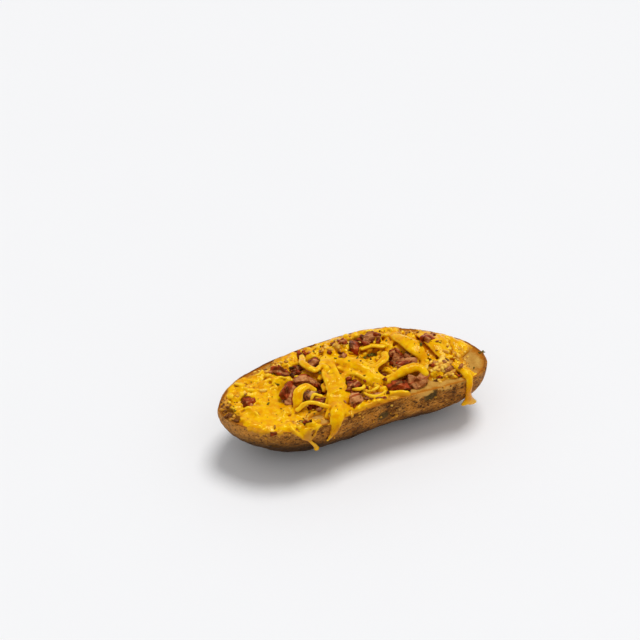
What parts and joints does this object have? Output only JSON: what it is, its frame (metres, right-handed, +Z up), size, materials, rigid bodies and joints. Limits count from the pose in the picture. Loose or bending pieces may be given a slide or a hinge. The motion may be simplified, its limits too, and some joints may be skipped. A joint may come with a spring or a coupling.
{
  "type": "loaded baked potato half",
  "caption": "Half of a baked potato, cut lengthwise, resting on its skin under melted orange-yellow cheese with bacon pieces and herb flecks.",
  "frame": {"origin": "middle of the part's footprint, on the table under the flat foot of the skin", "axes": "+X along the potato towards its narrower end, +Y across it to the back, +Z up out of the cut face"},
  "size_m": [0.1292, 0.0572, 0.0357],
  "materials": {
    "potato": "dry, finely wrinkled brown skin, with pale roasted flesh on the cut face",
    "cheese": "melted, softly shiny",
    "bacon": "cooked, greasy shine"
  },
  "bodies": {
    "root": {"potato_half": "potato", "melted_cheese": "cheese", "bacon_01": "bacon", "bacon_02": "bacon", "bacon_03": "bacon", "bacon_04": "bacon", "bacon_05": "bacon", "bacon_06": "bacon", "bacon_07": "bacon", "bacon_08": "bacon", "bacon_09": "bacon", "bacon_10": "bacon", "bacon_11": "bacon", "bacon_12": "bacon", "bacon_13": "bacon", "bacon_14": "bacon", "bacon_15": "bacon"}
  },
  "joints": []
}
